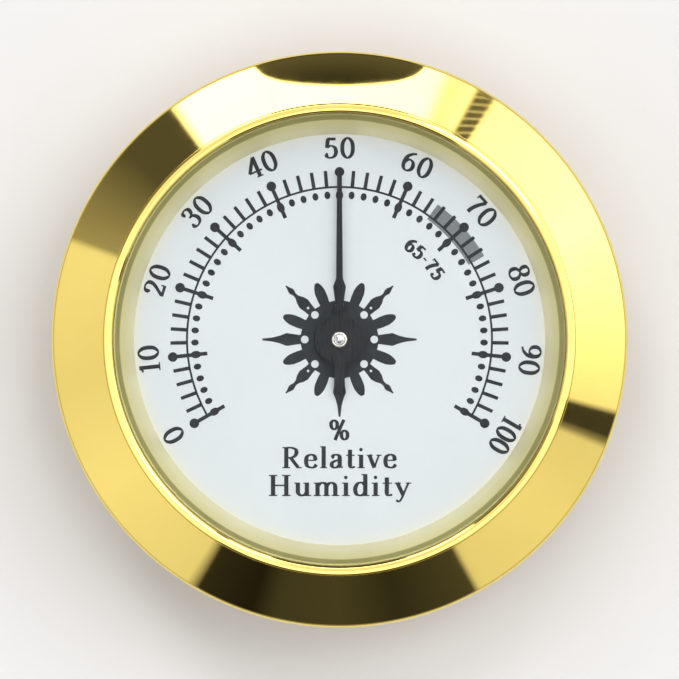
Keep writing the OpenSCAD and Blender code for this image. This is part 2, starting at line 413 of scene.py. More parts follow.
def gold_trim():
    a = Mat("satin_pale_gold")
    cyl = a.cylindrical()
    spun = a.noise(1.0, 3.0, 0.6, vector=a.scaled(60.0, 26000.0, 26000.0, vector=cyl))
    cloud = a.noise(240.0, 3.0)
    # painted shade: the gold runs from pale on the inner part to deeper and darker towards the outer edge under the lip
    pale = a.mix(a.remap(cloud, 0.3, 0.7, 0, 1), rgb(0.98, 0.93, 0.68), rgb(0.94, 0.88, 0.61))
    deep_shaded_gold = a.mix(a.remap(cloud, 0.3, 0.7, 0, 1), rgb(0.93, 0.86, 0.48), rgb(0.87, 0.80, 0.42))
    r = a.radius()
    col = a.mix(a.smoothstep(r, 0.0163, 0.0172), pale, deep_shaded_gold)
    # painted shadow: the ring's outer part, in the groove under the glass and the lip, is darkened to a dull olive
    edge = a.smoothstep(r, 0.01712, 0.01724)
    col = a.mix(a.math("MULTIPLY", edge, 0.8), col, rgb(0.36, 0.32, 0.10))
    a.set(Metallic=1.0, Base_Color=col, Roughness=a.remap(spun, 0.2, 0.8, 0.36, 0.52))
    a.bump(spun, 0.000004, 0.6)
    return a.m


def gold_case():
    a = Mat("drawn_gold_case")
    cyl = a.cylindrical()
    draw = a.noise(1.0, 3.0, 0.6, vector=a.scaled(5200.0, 60.0, 60.0, vector=cyl))
    spun = a.noise(1.0, 2.0, 0.5, vector=a.scaled(30.0, 7000.0, 400.0, vector=cyl))
    cloud = a.noise(120.0, 4.0, 0.6)
    speck = a.noise(1900.0, 2.0, 0.5)
    r = a.radius()
    wall = a.smoothstep(r, 0.0174, 0.0180)
    streak = a.math("ADD", a.math("MULTIPLY", draw, wall), a.math("MULTIPLY", spun, a.math("SUBTRACT", 1.0, wall)))
    col = a.mix(a.remap(cloud, 0.3, 0.72, 0, 1), rgb(0.86, 0.64, 0.22), rgb(0.76, 0.54, 0.17))
    col = a.mix(a.remap(speck, 0.68, 0.80, 0.0, 0.5), col, rgb(0.45, 0.29, 0.08))
    rough = a.math("ADD", a.remap(cloud, 0.3, 0.7, 0.13, 0.22), a.remap(streak, 0.3, 0.7, 0.0, 0.12))
    a.set(Metallic=1.0, Base_Color=col, Roughness=rough)
    a.bump(streak, 0.000010, 0.8)
    return a.m


def turned(name, c0, c1, r0, r1, pitch=9000.0):
    """Turned metal: fine rings across the radius and along the length."""
    a = Mat(name)
    rings = a.noise(1.0, 3.0, 0.6, vector=a.scaled(20.0, pitch, pitch, vector=a.cylindrical()))
    cloud = a.noise(500.0, 4.0, 0.6)
    a.set(
        Metallic=1.0,
        Base_Color=a.mix(a.remap(cloud, 0.3, 0.7, 0, 1), rgb(*c0), rgb(*c1)),
        Roughness=a.math("ADD", a.remap(rings, 0.2, 0.8, r0, r1), a.remap(cloud, 0.4, 0.8, 0.0, 0.08)),
    )
    a.bump(rings, 0.000006, 0.8)
    return a.m


def rolled(name, c0, c1, r0, r1, sx=150.0, sy=4200.0):
    """Rolled or pressed sheet: fine grain one way, clouded."""
    a = Mat(name)
    grain = a.noise(1.0, 4.0, 0.6, vector=a.scaled(sx, sy, 4200.0))
    cloud = a.noise(380.0, 4.0, 0.6)
    a.set(
        Metallic=1.0,
        Base_Color=a.mix(a.remap(cloud, 0.3, 0.7, 0, 1), rgb(*c0), rgb(*c1)),
        Roughness=a.math("ADD", a.remap(grain, 0.2, 0.8, r0, r1), a.remap(cloud, 0.4, 0.8, 0.0, 0.08)),
    )
    a.bump(grain, 0.000006, 0.7)
    return a.m


def dial_paint():
    a = Mat("satin_white_dial")
    grain = a.noise(1.0, 4.0, 0.65, vector=a.scaled(5200.0, 420.0, 900.0))
    fine = a.noise(9000.0, 3.0, 0.6)
    cloud = a.noise(95.0, 3.0, 0.5)
    col = a.mix(a.remap(cloud, 0.3, 0.7, 0, 1), rgb(0.620, 0.654, 0.680), rgb(0.647, 0.678, 0.698))
    col = a.mix(a.remap(grain, 0.25, 0.75, 0.0, 0.25), col, rgb(0.551, 0.588, 0.625))
    # painted reflection: the margin is tinted with the gold of the ring beside it, as light bounced from it
    col = a.mix(a.smoothstep(a.radius(), 0.0150, 0.0167, 0.0, 0.75), col, rgb(0.72, 0.69, 0.56))
    a.set(Base_Color=col, Roughness=a.remap(grain, 0.2, 0.8, 0.34, 0.48), Metallic=0.12)
    h = a.math("MULTIPLY_ADD", fine, 0.5, grain)
    a.bump(h, 0.000005, 0.5)
    return a.m


def ink():
    a = Mat("black_print")
    n = a.noise(3500.0, 4.0, 0.6)
    a.set(
        Base_Color=a.mix(a.remap(n, 0.3, 0.7, 0, 1), rgb(0.014, 0.017, 0.021), rgb(0.026, 0.030, 0.036)),
        Roughness=a.remap(n, 0.2, 0.8, 0.42, 0.58),
    )
    a.p.inputs["Specular IOR Level"].default_value = 0.22
    a.bump(n, 0.000004, 0.4)
    return a.m


def band_ink():
    a = Mat("grey_band_print")
    n = a.noise(4200.0, 4.0, 0.6)
    a.set(
        Base_Color=a.mix(a.remap(n, 0.3, 0.7, 0, 1), rgb(0.165, 0.182, 0.190), rgb(0.205, 0.222, 0.230)),
        Roughness=a.remap(n, 0.2, 0.8, 0.42, 0.58),
    )
    a.p.inputs["Specular IOR Level"].default_value = 0.22
    a.bump(n, 0.000004, 0.4)
    return a.m


def pointer_black():
    a = Mat("satin_black_pointer")
    n = a.noise(2600.0, 4.0, 0.6)
    g = a.noise(1.0, 3.0, 0.6, vector=a.scaled(9000.0, 300.0, 900.0))
    a.set(
        Base_Color=a.mix(a.remap(n, 0.3, 0.7, 0, 1), rgb(0.006, 0.006, 0.008), rgb(0.013, 0.013, 0.016)),
        Roughness=a.remap(g, 0.2, 0.8, 0.25, 0.31),
    )
    a.p.inputs["Specular IOR Level"].default_value = 0.28
    a.bump(n, 0.000002, 0.3)
    return a.m


def plastic(name, c0, c1, r0, r1):
    a = Mat(name)
    n = a.noise(5200.0, 5.0, 0.65)
    cloud = a.noise(300.0, 3.0, 0.5)
    a.set(
        Base_Color=a.mix(a.remap(cloud, 0.3, 0.7, 0, 1), rgb(*c0), rgb(*c1)),
        Roughness=a.remap(n, 0.25, 0.75, r0, r1),
    )
    a.bump(n, 0.000012, 0.6)
    return a.m


def coil_strip():
    """The strip is two layers, coppery metal under a pale film; here it is coppery metal clouded between two tones."""
    a = Mat("humidity_strip")
    n = a.noise(1.0, 4.0, 0.6, vector=a.scaled(700.0, 700.0, 7000.0))
    cloud = a.noise(320.0, 3.0, 0.5)
    a.set(
        Base_Color=a.mix(a.remap(cloud, 0.3, 0.7, 0, 1), rgb(0.74, 0.43, 0.24), rgb(0.62, 0.36, 0.20)),
        Roughness=a.remap(n, 0.2, 0.8, 0.26, 0.42),
        Metallic=0.85,
    )
    a.bump(n, 0.000006, 0.6)
    return a.m


def clear_glass(name, rough=0.0):
    """Glass that lets lamps through to the dial."""
    a = Mat(name)
    a.set(Base_Color=rgb(0.985, 0.995, 0.990), Roughness=rough, IOR=1.5)
    a.p.inputs["Transmission Weight"].default_value = 1.0
    # a coated lens: it mirrors only part of what plain glass would
    a.p.inputs["Specular Tint"].default_value = rgb(0.26, 0.28, 0.30)
    clear = a.node("ShaderNodeBsdfTransparent")
    clear.inputs[0].default_value = (0.95, 0.965, 0.96, 1.0)
    path = a.node("ShaderNodeLightPath")
    mixed = a.node("ShaderNodeMixShader")
    a.link(path.outputs["Is Shadow Ray"], mixed.inputs[0])
    a.link(a.p.outputs[0], mixed.inputs[1])
    a.link(clear.outputs[0], mixed.inputs[2])
    a.link(mixed.outputs[0], a.out.inputs["Surface"])
    return a.m


def ground_edge():
    a = Mat("ground_glass_edge")
    n = a.noise(6000.0, 4.0, 0.6)
    a.set(
        Base_Color=a.mix(a.remap(n, 0.3, 0.7, 0, 1), rgb(0.62, 0.76, 0.70), rgb(0.74, 0.84, 0.80)),
        Roughness=a.remap(n, 0.2, 0.8, 0.38, 0.55),
    )
    a.bump(n, 0.000010, 0.7)
    return a.m


GOLD = gold_mirror()
TRIM = gold_trim()
CASE = gold_case()
PAINT = dial_paint()
INK = ink()
BAND = band_ink()
POINTER = pointer_black()
GLASS = clear_glass("clear_glass")
EDGE = ground_edge()
BRASS = turned("turned_brass", (0.80, 0.60, 0.24), (0.68, 0.48, 0.17), 0.20, 0.36)
# painted shade: the screw's slot is a much darker brass than its head
SLOT_SHADE = turned("slot_shaded_brass", (0.20, 0.14, 0.06), (0.13, 0.09, 0.04), 0.42, 0.60)
STEEL = turned("turned_steel", (0.62, 0.63, 0.65), (0.52, 0.53, 0.55), 0.16, 0.30)
BRIGHT = turned("polished_hub", (0.93, 0.91, 0.86), (0.86, 0.84, 0.79), 0.07, 0.16, 5000.0)
NICKEL = rolled("nickel_plated_sheet", (0.66, 0.65, 0.62), (0.56, 0.55, 0.53), 0.20, 0.34)
ALU = rolled("rolled_aluminium", (0.76, 0.77, 0.78), (0.66, 0.67, 0.69), 0.28, 0.44)
RIVET = turned("aluminium_rivet", (0.80, 0.81, 0.82), (0.70, 0.71, 0.73), 0.24, 0.38)
BLACK = plastic("black_moulded_sleeve", (0.020, 0.020, 0.021), (0.032, 0.032, 0.034), 0.46, 0.66)
RUBBER = plastic("black_rubber", (0.014, 0.014, 0.014), (0.024, 0.024, 0.024), 0.66, 0.86)
COIL = coil_strip()

# ---------------------------------------------------------------- bezel

FACE_IN, FACE_OUT = 17.6, 23.0  # slope of the face beside the lip and at the rim, degrees


def bezel_profile():
    edge = (22.05, 0.9)
    # the face: its slope grows outwards, and its ends lie on the CAD face's ends
    start_a = 90 - FACE_OUT
    start = (edge[0] + 0.45 * math.cos(math.radians(start_a)), edge[1] + 0.45 * math.sin(math.radians(start_a)))
    n = 22
    r0, r1 = start[0], 18.40
    face, z = [], start[1]
    for i in range(n + 1):
        r = r0 + (r1 - r0) * i / n
        if i:
            u = (r0 - (r + (r0 - r1) / n / 2)) / (r0 - r1)
            slope = math.radians(FACE_OUT + (FACE_IN - FACE_OUT) * u)
            z += (r0 - r1) / n * math.tan(slope)
        face.append((r, z))
    z_meet = face[-1][1]
    p = [(22.5, 0.05), (22.5, 0.9)]
    p += arc(edge[0], edge[1], 0.45, 0, start_a, 12)
    p += face[1:]
    # the lip: a low crown with a faint ridge, which rolls over tightly to the glass
    crown = [(18.02, LIP_Z)]
    for i in range(1, 9):
        r = 18.02 + 0.035 * i
        crown.append((r, crown[-1][1] - 0.035 * math.tan(math.radians(5.0 + 8.0 * (i - 0.5) / 8))))
    p += [(18.412, z_meet - 0.02), (18.385, z_meet + 0.03), (18.375, crown[-1][1] - 0.075)]
    p += [(18.350, crown[-1][1] - 0.028)] + crown[:0:-1] + [(18.032, LIP_Z - 0.0006), (18.02, LIP_Z), (18.008, LIP_Z - 0.0006)]
    r, z = 18.008, LIP_Z - 0.0006
    for i in range(6):
        r, z = r - 0.025, z - 0.025 * math.tan(math.radians(5.0 + 6.0 * (i + 0.5) / 6))
        p.append((r, z))
    roll = (r - RA) / (1 - math.sin(math.radians(11)))
    p += arc(r + roll * math.sin(math.radians(11)), z - roll * math.cos(math.radians(11)), roll, 101, 180, 14)[1:]
    p += [(RA, LENS_HI[2] + 0.04), (RA + 0.04, LENS_HI[2])]
    p += [(18.32, LENS_HI[2]), (18.32, 0.05), (18.37, 0), (18.95, 0), (19.0, 0.05)]
    # the hollow underside follows the face at the wall's thickness
    under = [(r, z - 0.7 / math.cos(math.radians(20))) for r, z in reversed(face) if 19.05 < r < 21.75]
    p += [(19.0, under[0][1] + 0.02)] + under + [(21.8, under[-1][1] - 0.03), (21.8, 0.04), (21.84, 0), (22.45, 0)]
    return p


bm = lathe(bezel_profile(), segs=384, sharp=24)
mesh_object("bezel_plated", bm, "case", [GOLD], ["bezel"])

# ---------------------------------------------------------------- lens, gasket ring, trim ring

lr = 18.22
z0, z1, c = LENS_LO[2], LENS_HI[2], 0.12
lens_profile = [(0, z0), (lr - c, z0), (lr, z0 + c), (lr, z1 - c), (lr - c, z1), (0, z1)]
bm = lathe(lens_profile, segs=256, mat=lambda i: 1 if i in (1, 2, 3) else 0)
mesh_object("lens_glass", bm, "case", [GLASS, EDGE], ["lens"])

tr = 16.1
tz0, tz1 = TRIM_LO[2], TRIM_HI[2]
trim_profile = [(tr, tz0), (17.95, tz0), (17.95, tz1), (17.56, tz1)] + arc(17.56, tz1 - 0.06, 0.06, 90, 150, 3)[1:]
trim_profile += [(tr + 0.06, tz0 + 0.15)] + [(tr, tz0 + 0.09)]
bm = lathe(trim_profile, segs=320, sharp=24)
mesh_object("trim_ring_satin", bm, "case", [TRIM], ["trim_ring"])

# ---------------------------------------------------------------- glyphs, drawn as broad-pen strokes

# Unit: the height of a capital. s = stroke (points, closed), r = slab (x0, y0, x1, y1), d = dot (x, y, radius)
GLYPHS = {
    "0": (0.58, [("s", [(0.29, 0.97), (0.12, 0.80), (0.075, 0.5), (0.12, 0.20), (0.29, 0.03), (0.46, 0.20), (0.505, 0.5), (0.46, 0.80)], True)]),
    "1": (0.46, [("s", [(0.25, 0.0), (0.25, 0.5), (0.25, 1.0)], False), ("s", [(0.25, 0.96), (0.17, 0.87), (0.06, 0.83)], False), ("r", 0.08, 0.0, 0.42, 0.065)]),
    "2": (0.58, [("s", [(0.09, 0.72), (0.12, 0.90), (0.27, 0.97), (0.43, 0.89), (0.465, 0.72), (0.38, 0.50), (0.22, 0.28), (0.08, 0.09)], False), ("r", 0.05, 0.0, 0.51, 0.14), ("r", 0.45, 0.0, 0.51, 0.24), ("d", 0.115, 0.74, 0.075)]),
    "3": (0.57, [("s", [(0.10, 0.80), (0.15, 0.93), (0.27, 0.97), (0.40, 0.91), (0.43, 0.77), (0.36, 0.61), (0.20, 0.54)], False), ("s", [(0.20, 0.54), (0.37, 0.51), (0.465, 0.31), (0.41, 0.11), (0.25, 0.03), (0.12, 0.08), (0.075, 0.20)], False), ("d", 0.12, 0.79, 0.07), ("d", 0.10, 0.21, 0.07)]),
    "4": (0.60, [("s", [(0.40, 0.0), (0.40, 0.5), (0.40, 1.0)], False), ("s", [(0.40, 0.97), (0.21, 0.62), (0.04, 0.29)], False), ("r", 0.02, 0.25, 0.57, 0.34), ("r", 0.27, 0.0, 0.54, 0.06)]),
    "5": (0.57, [("r", 0.12, 0.85, 0.46, 0.99), ("s", [(0.15, 0.93), (0.125, 0.72), (0.11, 0.50)], False), ("s", [(0.11, 0.52), (0.26, 0.60), (0.42, 0.52), (0.475, 0.31), (0.41, 0.11), (0.25, 0.03), (0.12, 0.08), (0.075, 0.19)], False), ("d", 0.10, 0.20, 0.07)]),
    "6": (0.58, [("s", [(0.45, 0.93), (0.28, 0.85), (0.13, 0.66), (0.085, 0.40), (0.13, 0.14), (0.28, 0.03), (0.44, 0.13), (0.485, 0.31), (0.43, 0.49), (0.29, 0.57), (0.17, 0.50), (0.105, 0.38)], False)]),
    "7": (0.56, [("r", 0.06, 0.85, 0.52, 0.99), ("s", [(0.49, 0.90), (0.34, 0.58), (0.25, 0.28), (0.23, 0.0)], False), ("r", 0.06, 0.76, 0.12, 0.99)]),
    "8": (0.58, [("s", [(0.29, 0.97), (0.16, 0.90), (0.125, 0.76), (0.17, 0.62), (0.29, 0.54), (0.41, 0.62), (0.455, 0.76), (0.42, 0.90)], True), ("s", [(0.29, 0.54), (0.13, 0.44), (0.08, 0.28), (0.13, 0.11), (0.29, 0.03), (0.45, 0.11), (0.50, 0.28), (0.45, 0.44)], True)]),
    "9": (0.58, [("s", [(0.13, 0.07), (0.30, 0.15), (0.45, 0.34), (0.495, 0.60), (0.45, 0.86), (0.30, 0.97), (0.14, 0.87), (0.095, 0.69), (0.15, 0.51), (0.29, 0.43), (0.41, 0.50), (0.475, 0.62)], False)]),
    "%": (0.86, [("s", [(0.20, 0.97), (0.09, 0.88), (0.07, 0.74), (0.11, 0.60), (0.20, 0.53), (0.30, 0.60), (0.335, 0.74), (0.31, 0.88)], True), ("s", [(0.64, 0.47), (0.53, 0.38), (0.51, 0.24), (0.55, 0.10), (0.64, 0.03), (0.74, 0.10), (0.775, 0.24), (0.75, 0.38)], True), ("s", [(0.24, 0.0), (0.42, 0.5), (0.62, 1.0)], False)]),
    "-": (0.36, [("r", 0.05, 0.36, 0.31, 0.47)]),
    "R": (0.74, [("s", [(0.17, 0.0), (0.17, 0.5), (0.17, 1.0)], False), ("r", 0.03, 0.0, 0.31, 0.06), ("r", 0.03, 0.94, 0.20, 1.0), ("s", [(0.17, 0.965), (0.36, 0.965), (0.50, 0.89), (0.54, 0.74), (0.48, 0.58), (0.35, 0.50), (0.17, 0.50)], False), ("s", [(0.33, 0.50), (0.46, 0.27), (0.60, 0.04)], False), ("r", 0.55, 0.0, 0.73, 0.06)]),
    "H": (0.80, [("s", [(0.17, 0.0), (0.17, 0.5), (0.17, 1.0)], False), ("s", [(0.61, 0.0), (0.61, 0.5), (0.61, 1.0)], False), ("r", 0.17, 0.47, 0.61, 0.54), ("r", 0.03, 0.0, 0.31, 0.06), ("r", 0.03, 0.94, 0.31, 1.0), ("r", 0.47, 0.0, 0.75, 0.06), ("r", 0.47, 0.94, 0.75, 1.0)]),
    "e": (0.52, [("r", 0.09, 0.34, 0.45, 0.40), ("s", [(0.43, 0.37), (0.39, 0.57), (0.27, 0.64), (0.13, 0.56), (0.085, 0.34), (0.13, 0.11), (0.28, 0.03), (0.39, 0.07), (0.46, 0.18)], False)]),
    "l": (0.29, [("s", [(0.14, 0.0), (0.14, 0.5), (0.14, 1.04)], False), ("r", 0.01, 0.0, 0.27, 0.055), ("r", 0.01, 0.985, 0.17, 1.04)]),
    "a": (0.52, [("s", [(0.10, 0.50), (0.15, 0.61), (0.26, 0.64), (0.35, 0.58), (0.37, 0.44), (0.37, 0.20), (0.39, 0.06), (0.48, 0.05)], False), ("s", [(0.37, 0.40), (0.20, 0.34), (0.09, 0.24), (0.09, 0.11), (0.17, 0.03), (0.28, 0.06), (0.37, 0.17)], False), ("d", 0.12, 0.50, 0.06)]),
    "t": (0.36, [("s", [(0.16, 0.88), (0.16, 0.45), (0.16, 0.16), (0.21, 0.04), (0.34, 0.07)], False), ("r", 0.02, 0.58, 0.33, 0.64)]),
    "i": (0.29, [("s", [(0.14, 0.0), (0.14, 0.3), (0.14, 0.64)], False), ("r", 0.01, 0.0, 0.27, 0.055), ("r", 0.01, 0.585, 0.17, 0.64), ("d", 0.135, 0.88, 0.085)]),
    "v": (0.52, [("s", [(0.08, 0.64), (0.17, 0.34), (0.27, 0.02)], False), ("s", [(0.44, 0.64), (0.35, 0.33), (0.27, 0.03)], False, 0.45), ("r", -0.01, 0.585, 0.21, 0.64), ("r", 0.34, 0.585, 0.53, 0.64)]),
    "u": (0.58, [("s", [(0.13, 0.64), (0.13, 0.36), (0.14, 0.15), (0.24, 0.03), (0.36, 0.08), (0.43, 0.20)], False), ("s", [(0.43, 0.64), (0.43, 0.32), (0.43, 0.0)], False), ("r", 0.01, 0.585, 0.16, 0.64), ("r", 0.31, 0.585, 0.46, 0.64), ("r", 0.43, 0.0, 0.57, 0.055)]),
    "m": (0.88, [("s", [(0.14, 0.0), (0.14, 0.32), (0.14, 0.64)], False), ("s", [(0.14, 0.46), (0.24, 0.60), (0.35, 0.62), (0.43, 0.50), (0.435, 0.25), (0.435, 0.0)], False), ("s", [(0.435, 0.46), (0.53, 0.60), (0.64, 0.62), (0.72, 0.50), (0.73, 0.25), (0.73, 0.0)], False), ("r", 0.01, 0.0, 0.26, 0.055), ("r", 0.32, 0.0, 0.55, 0.055), ("r", 0.61, 0.0, 0.86, 0.055), ("r", 0.01, 0.585, 0.17, 0.64)]),
    "d": (0.57, [("s", [(0.43, 1.04), (0.43, 0.5), (0.43, 0.0)], False), ("s", [(0.43, 0.50), (0.32, 0.63), (0.18, 0.59), (0.095, 0.36), (0.13, 0.11), (0.25, 0.03), (0.36, 0.08), (0.43, 0.20)], False), ("r", 0.30, 0.985, 0.46, 1.04), ("r", 0.43, 0.0, 0.57, 0.055)]),
    "y": (0.54, [("s", [(0.08, 0.64), (0.18, 0.34), (0.28, 0.04)], False), ("s", [(0.46, 0.64), (0.36, 0.32), (0.25, -0.05), (0.16, -0.24), (0.07, -0.25)], False, 0.5), ("r", -0.01, 0.585, 0.21, 0.64), ("r", 0.36, 0.585, 0.55, 0.64), ("d", 0.075, -0.22, 0.06)]),
}


def spline(pts, closed, n=7):
    """Catmull-Rom through the points."""
    out = []
    m = len(pts)
    spans = m if closed else m - 1
    for i in range(spans):
        p1, p2 = pts[i], pts[(i + 1) % m]
        p0 = pts[i - 1] if (closed or i) else (2 * p1[0] - p2[0], 2 * p1[1] - p2[1])
        p3 = pts[(i + 2) % m] if (closed or i + 2 < m) else (2 * p2[0] - p1[0], 2 * p2[1] - p1[1])
        for k in range(n):
            t = k / n
            out.append(
                tuple(
                    0.5 * (2 * p1[j] + (p2[j] - p0[j]) * t + (2 * p0[j] - 5 * p1[j] + 4 * p2[j] - p3[j]) * t * t + (3 * p1[j] - p0[j] - 3 * p2[j] + p3[j]) * t**3)
                    for j in (0, 1)
                )
            )
    if not closed:
        out.append(pts[-1])
    return out


def hull(points):
    """The convex outline of a few points."""
    pts = sorted(set(points))
    if len(pts) < 3:
        return pts
    sides = []
    for run in (pts, pts[::-1]):
        line = []
        for q in run:
            while len(line) > 1 and (line[-1][0] - line[-2][0]) * (q[1] - line[-2][1]) - (line[-1][1] - line[-2][1]) * (q[0] - line[-2][0]) <= 0:
                line.pop()
            line.append(q)
        sides += line[:-1]
    return sides


def pen(pts, closed, stem, hair, share=1.0):
    """A stroke that is thick where it runs up and down, and thin where it runs across, as a row of small convex pieces."""
    line = spline(pts, closed)
    m = len(line)
    left, right = [], []
    for i, (x, y) in enumerate(line):
        a = line[(i - 1) % m] if (closed or i) else line[i]
        b = line[(i + 1) % m] if (closed or i + 1 < m) else line[i]
        dx, dy = b[0] - a[0], b[1] - a[1]
        d = math.hypot(dx, dy) or 1.0
        w = hair + (stem * share - hair) * abs(dy / d) ** 1.6 if stem * share > hair else hair
        left.append((x - dy / d * w / 2, y + dx / d * w / 2))
        right.append((x + dy / d * w / 2, y - dx / d * w / 2))
    return [hull([left[i], right[i], right[(i + 1) % m], left[(i + 1) % m]]) for i in range(m if closed else m - 1)]


def glyph_parts(ch, xs, stem, hair):
    """The glyph as convex pieces that overlap, in units of the cap height."""
    parts = []
    for item in GLYPHS[ch][1]:
        if item[0] == "s":
            pts = [(x * xs, y) for x, y in item[1]]
            parts += pen(pts, item[2], stem, hair, item[3] if len(item) > 3 else 1.0)
        elif item[0] == "r":
            _, x0, y0, x1, y1 = item
            parts.append([(x0 * xs, y0), (x1 * xs, y0), (x1 * xs, y1), (x0 * xs, y1)])
        else:
            _, x, y, r = item
            parts.append(disc_loop(x * xs, y, r, 16))
    return parts


def holds(loop, q):
    """Whether the point lies inside the loop."""
    inside = False
    for a, b in zip(loop, loop[1:] + loop[:1]):
        if (a[1] > q[1]) != (b[1] > q[1]) and q[0] < a[0] + (b[0] - a[0]) * (q[1] - a[1]) / (b[1] - a[1]):
            inside = not inside
    return inside


def flat_union(parts, z0, z1):
    """One closed mesh, from z0 to z1, of everything that the flat pieces cover."""
    points, faces = [], []
    for part in parts:
        if len(part) < 3:
            continue
        area = sum(a[0] * b[1] - b[0] * a[1] for a, b in zip(part, part[1:] + part[:1]))
        faces.append(list(range(len(points), len(points) + len(part))))
        points += [Vector(q) for q in (part if area > 0 else part[::-1])]
    flat, _, cells, _, _, covered = delaunay_2d_cdt(points, [], faces, 0, 0.0004, True)
    cells = [c for c, by in zip(cells, covered) if any(holds([points[k] for k in faces[f]], sum((flat[i] for i in c), Vector((0, 0))) / len(c)) for f in by)]
    bm = bmesh.new()
    used = sorted({i for c in cells for i in c})
    low = {i: bm.verts.new((*flat[i], z0)) for i in used}
    high = {i: bm.verts.new((*flat[i], z1)) for i in used}
    around = {}
    for c in cells:
        bm.faces.new([high[i] for i in c])
        bm.faces.new([low[i] for i in c[::-1]])
        for a, b in zip(c, c[1:] + c[:1]):
            around[(a, b)] = True
    for a, b in around:
        if (b, a) not in around:
            bm.faces.new((high[b], high[a], low[a], low[b]))
    return bm


def text_width(text, xs, gap):
    return sum(GLYPHS[ch][0] * xs for ch in text) + gap * (len(text) - 1)


def draw_text(parts, text, place, height, xs=1.0, gap=0.04, stem=0.165, hair=0.07):
    """place(x, y) gives the dial's point, in mm, for a point of the line of text whose middle is x = 0 and whose baseline is y = 0."""
    x = -text_width(text, xs, gap) / 2
    for ch in text:
        for part in glyph_parts(ch, xs, stem, hair):
            parts.append([place((px + x) * height, py * height) for px, py in part])
        x += GLYPHS[ch][0] * xs + gap


def polar(az, r):
    a = math.radians(az)
    return (r * math.sin(a), r * math.cos(a))


def on_axis(az, rc, height):
    """A straight line of text across the radius at az, tops outwards, its middle height at radius rc."""
    a = math.radians(az)
    ux, uy = math.sin(a), math.cos(a)

    def place(x, y):
        r = rc - height / 2 + y
        return (ux * r + uy * x, uy * r - ux * x)

    return place


def on_arc(az, base_r):
    """A line of text bent round the axis, tops outwards, its baseline at radius base_r."""

    def place(x, y):
        return polar(az + math.degrees(x / base_r), base_r + y)

    return place


def straight(y0):
    return lambda x, y: (x, y + y0)


def bar(az0, az1, r0, r1, n=1):
    """A patch of a ring between two azimuths and two radii."""
    out = [polar(az0 + (az1 - az0) * i / n, r1) for i in range(n + 1)]
    return out + [polar(az1 + (az0 - az1) * i / n, r0) for i in range(n + 1)]


def tick(az, r0, r1, w0, w1=None):
    """A straight mark along the radius, w0 wide at r0 and w1 at r1."""
    w1 = w0 if w1 is None else w1
    a = math.radians(az)
    ux, uy = math.sin(a), math.cos(a)
    return [(ux * r + uy * s * w / 2, uy * r - ux * s * w / 2) for r, s, w in ((r0, -1, w0), (r1, -1, w1), (r1, 1, w1), (r0, 1, w0))]


def drop(az, rc, along, across, n=20):
    """An oval mark that points along the radius."""
    a = math.radians(az)
    ux, uy = math.sin(a), math.cos(a)
    out = []
    for i in range(n):
        t = 2 * math.pi * i / n
        u, v = rc + along * math.cos(t), across * math.sin(t)
        out.append((ux * u + uy * v, uy * u - ux * v))
    return out


Z_INK = (DIAL_Z - 0.010, DIAL_Z + 0.010)
Z_BAND = (DIAL_Z - 0.010, DIAL_Z + 0.006)


def azimuth(percent):
    return (percent - 50) * 2.4


# scale: an outer row of ticks and an inner row of beads every 2 %, and a long beaded mark every 10 %
bm = bmesh.new()
for p in range(0, 101, 2):
    az = azimuth(p)
    if p % 10:
        prism(bm, [tick(az, 11.95, 13.24, 0.29, 0.27)], *Z_INK)
        prism(bm, [drop(az, 11.32, 0.30, 0.235)], *Z_INK)
    else:
        prism(bm, [tick(az, 10.40, 13.50, 0.30)], *Z_INK)
        prism(bm, [disc_loop(*polar(az, 13.12), 0.38, 24)], *Z_INK)
        prism(bm, [drop(az, 11.30, 0.41, 0.29)], *Z_INK)
# hairlines that tie the two rows together
prism(bm, [bar(-120, 120, 11.86, 12.02, 120)], *Z_INK)
bm = union_all(bm)
mesh_object("print_scale", bm, "case", [INK])

bm = bmesh.new()
prism(bm, [bar(azimuth(65), azimuth(75), 11.66, 13.08, 24)], *Z_BAND)
mesh_object("print_band", bm, "case", [BAND])

# numbers
parts = []
for p in range(0, 101, 10):
    h = 1.66
    draw_text(parts, str(p), on_axis(azimuth(p), 15.0, h), h, xs=1.16 if p < 100 else 1.0, gap=0.10 if p < 100 else 0.06, stem=0.19, hair=0.085)
bm = flat_union(parts, *Z_INK)
mesh_object("print_numbers", bm, "case", [INK])

# wording: the quantity, its unit and the marked span
parts = []
draw_text(parts, "65-75", on_arc(46.8, 8.72), 1.10, xs=1.12, gap=0.08, stem=0.26, hair=0.15)
draw_text(parts, "%", straight(-7.88), 1.60, xs=1.15, stem=0.18, hair=0.09)
draw_text(parts, "Relative", straight(-10.08), 1.66, xs=1.30, gap=0.082, stem=0.200, hair=0.085)
draw_text(parts, "Humidity", straight(-12.26), 1.66, xs=1.42, gap=0.090, stem=0.205, hair=0.085)
bm = flat_union(parts, *Z_INK)
mesh_object("print_wording", bm, "case", [INK])


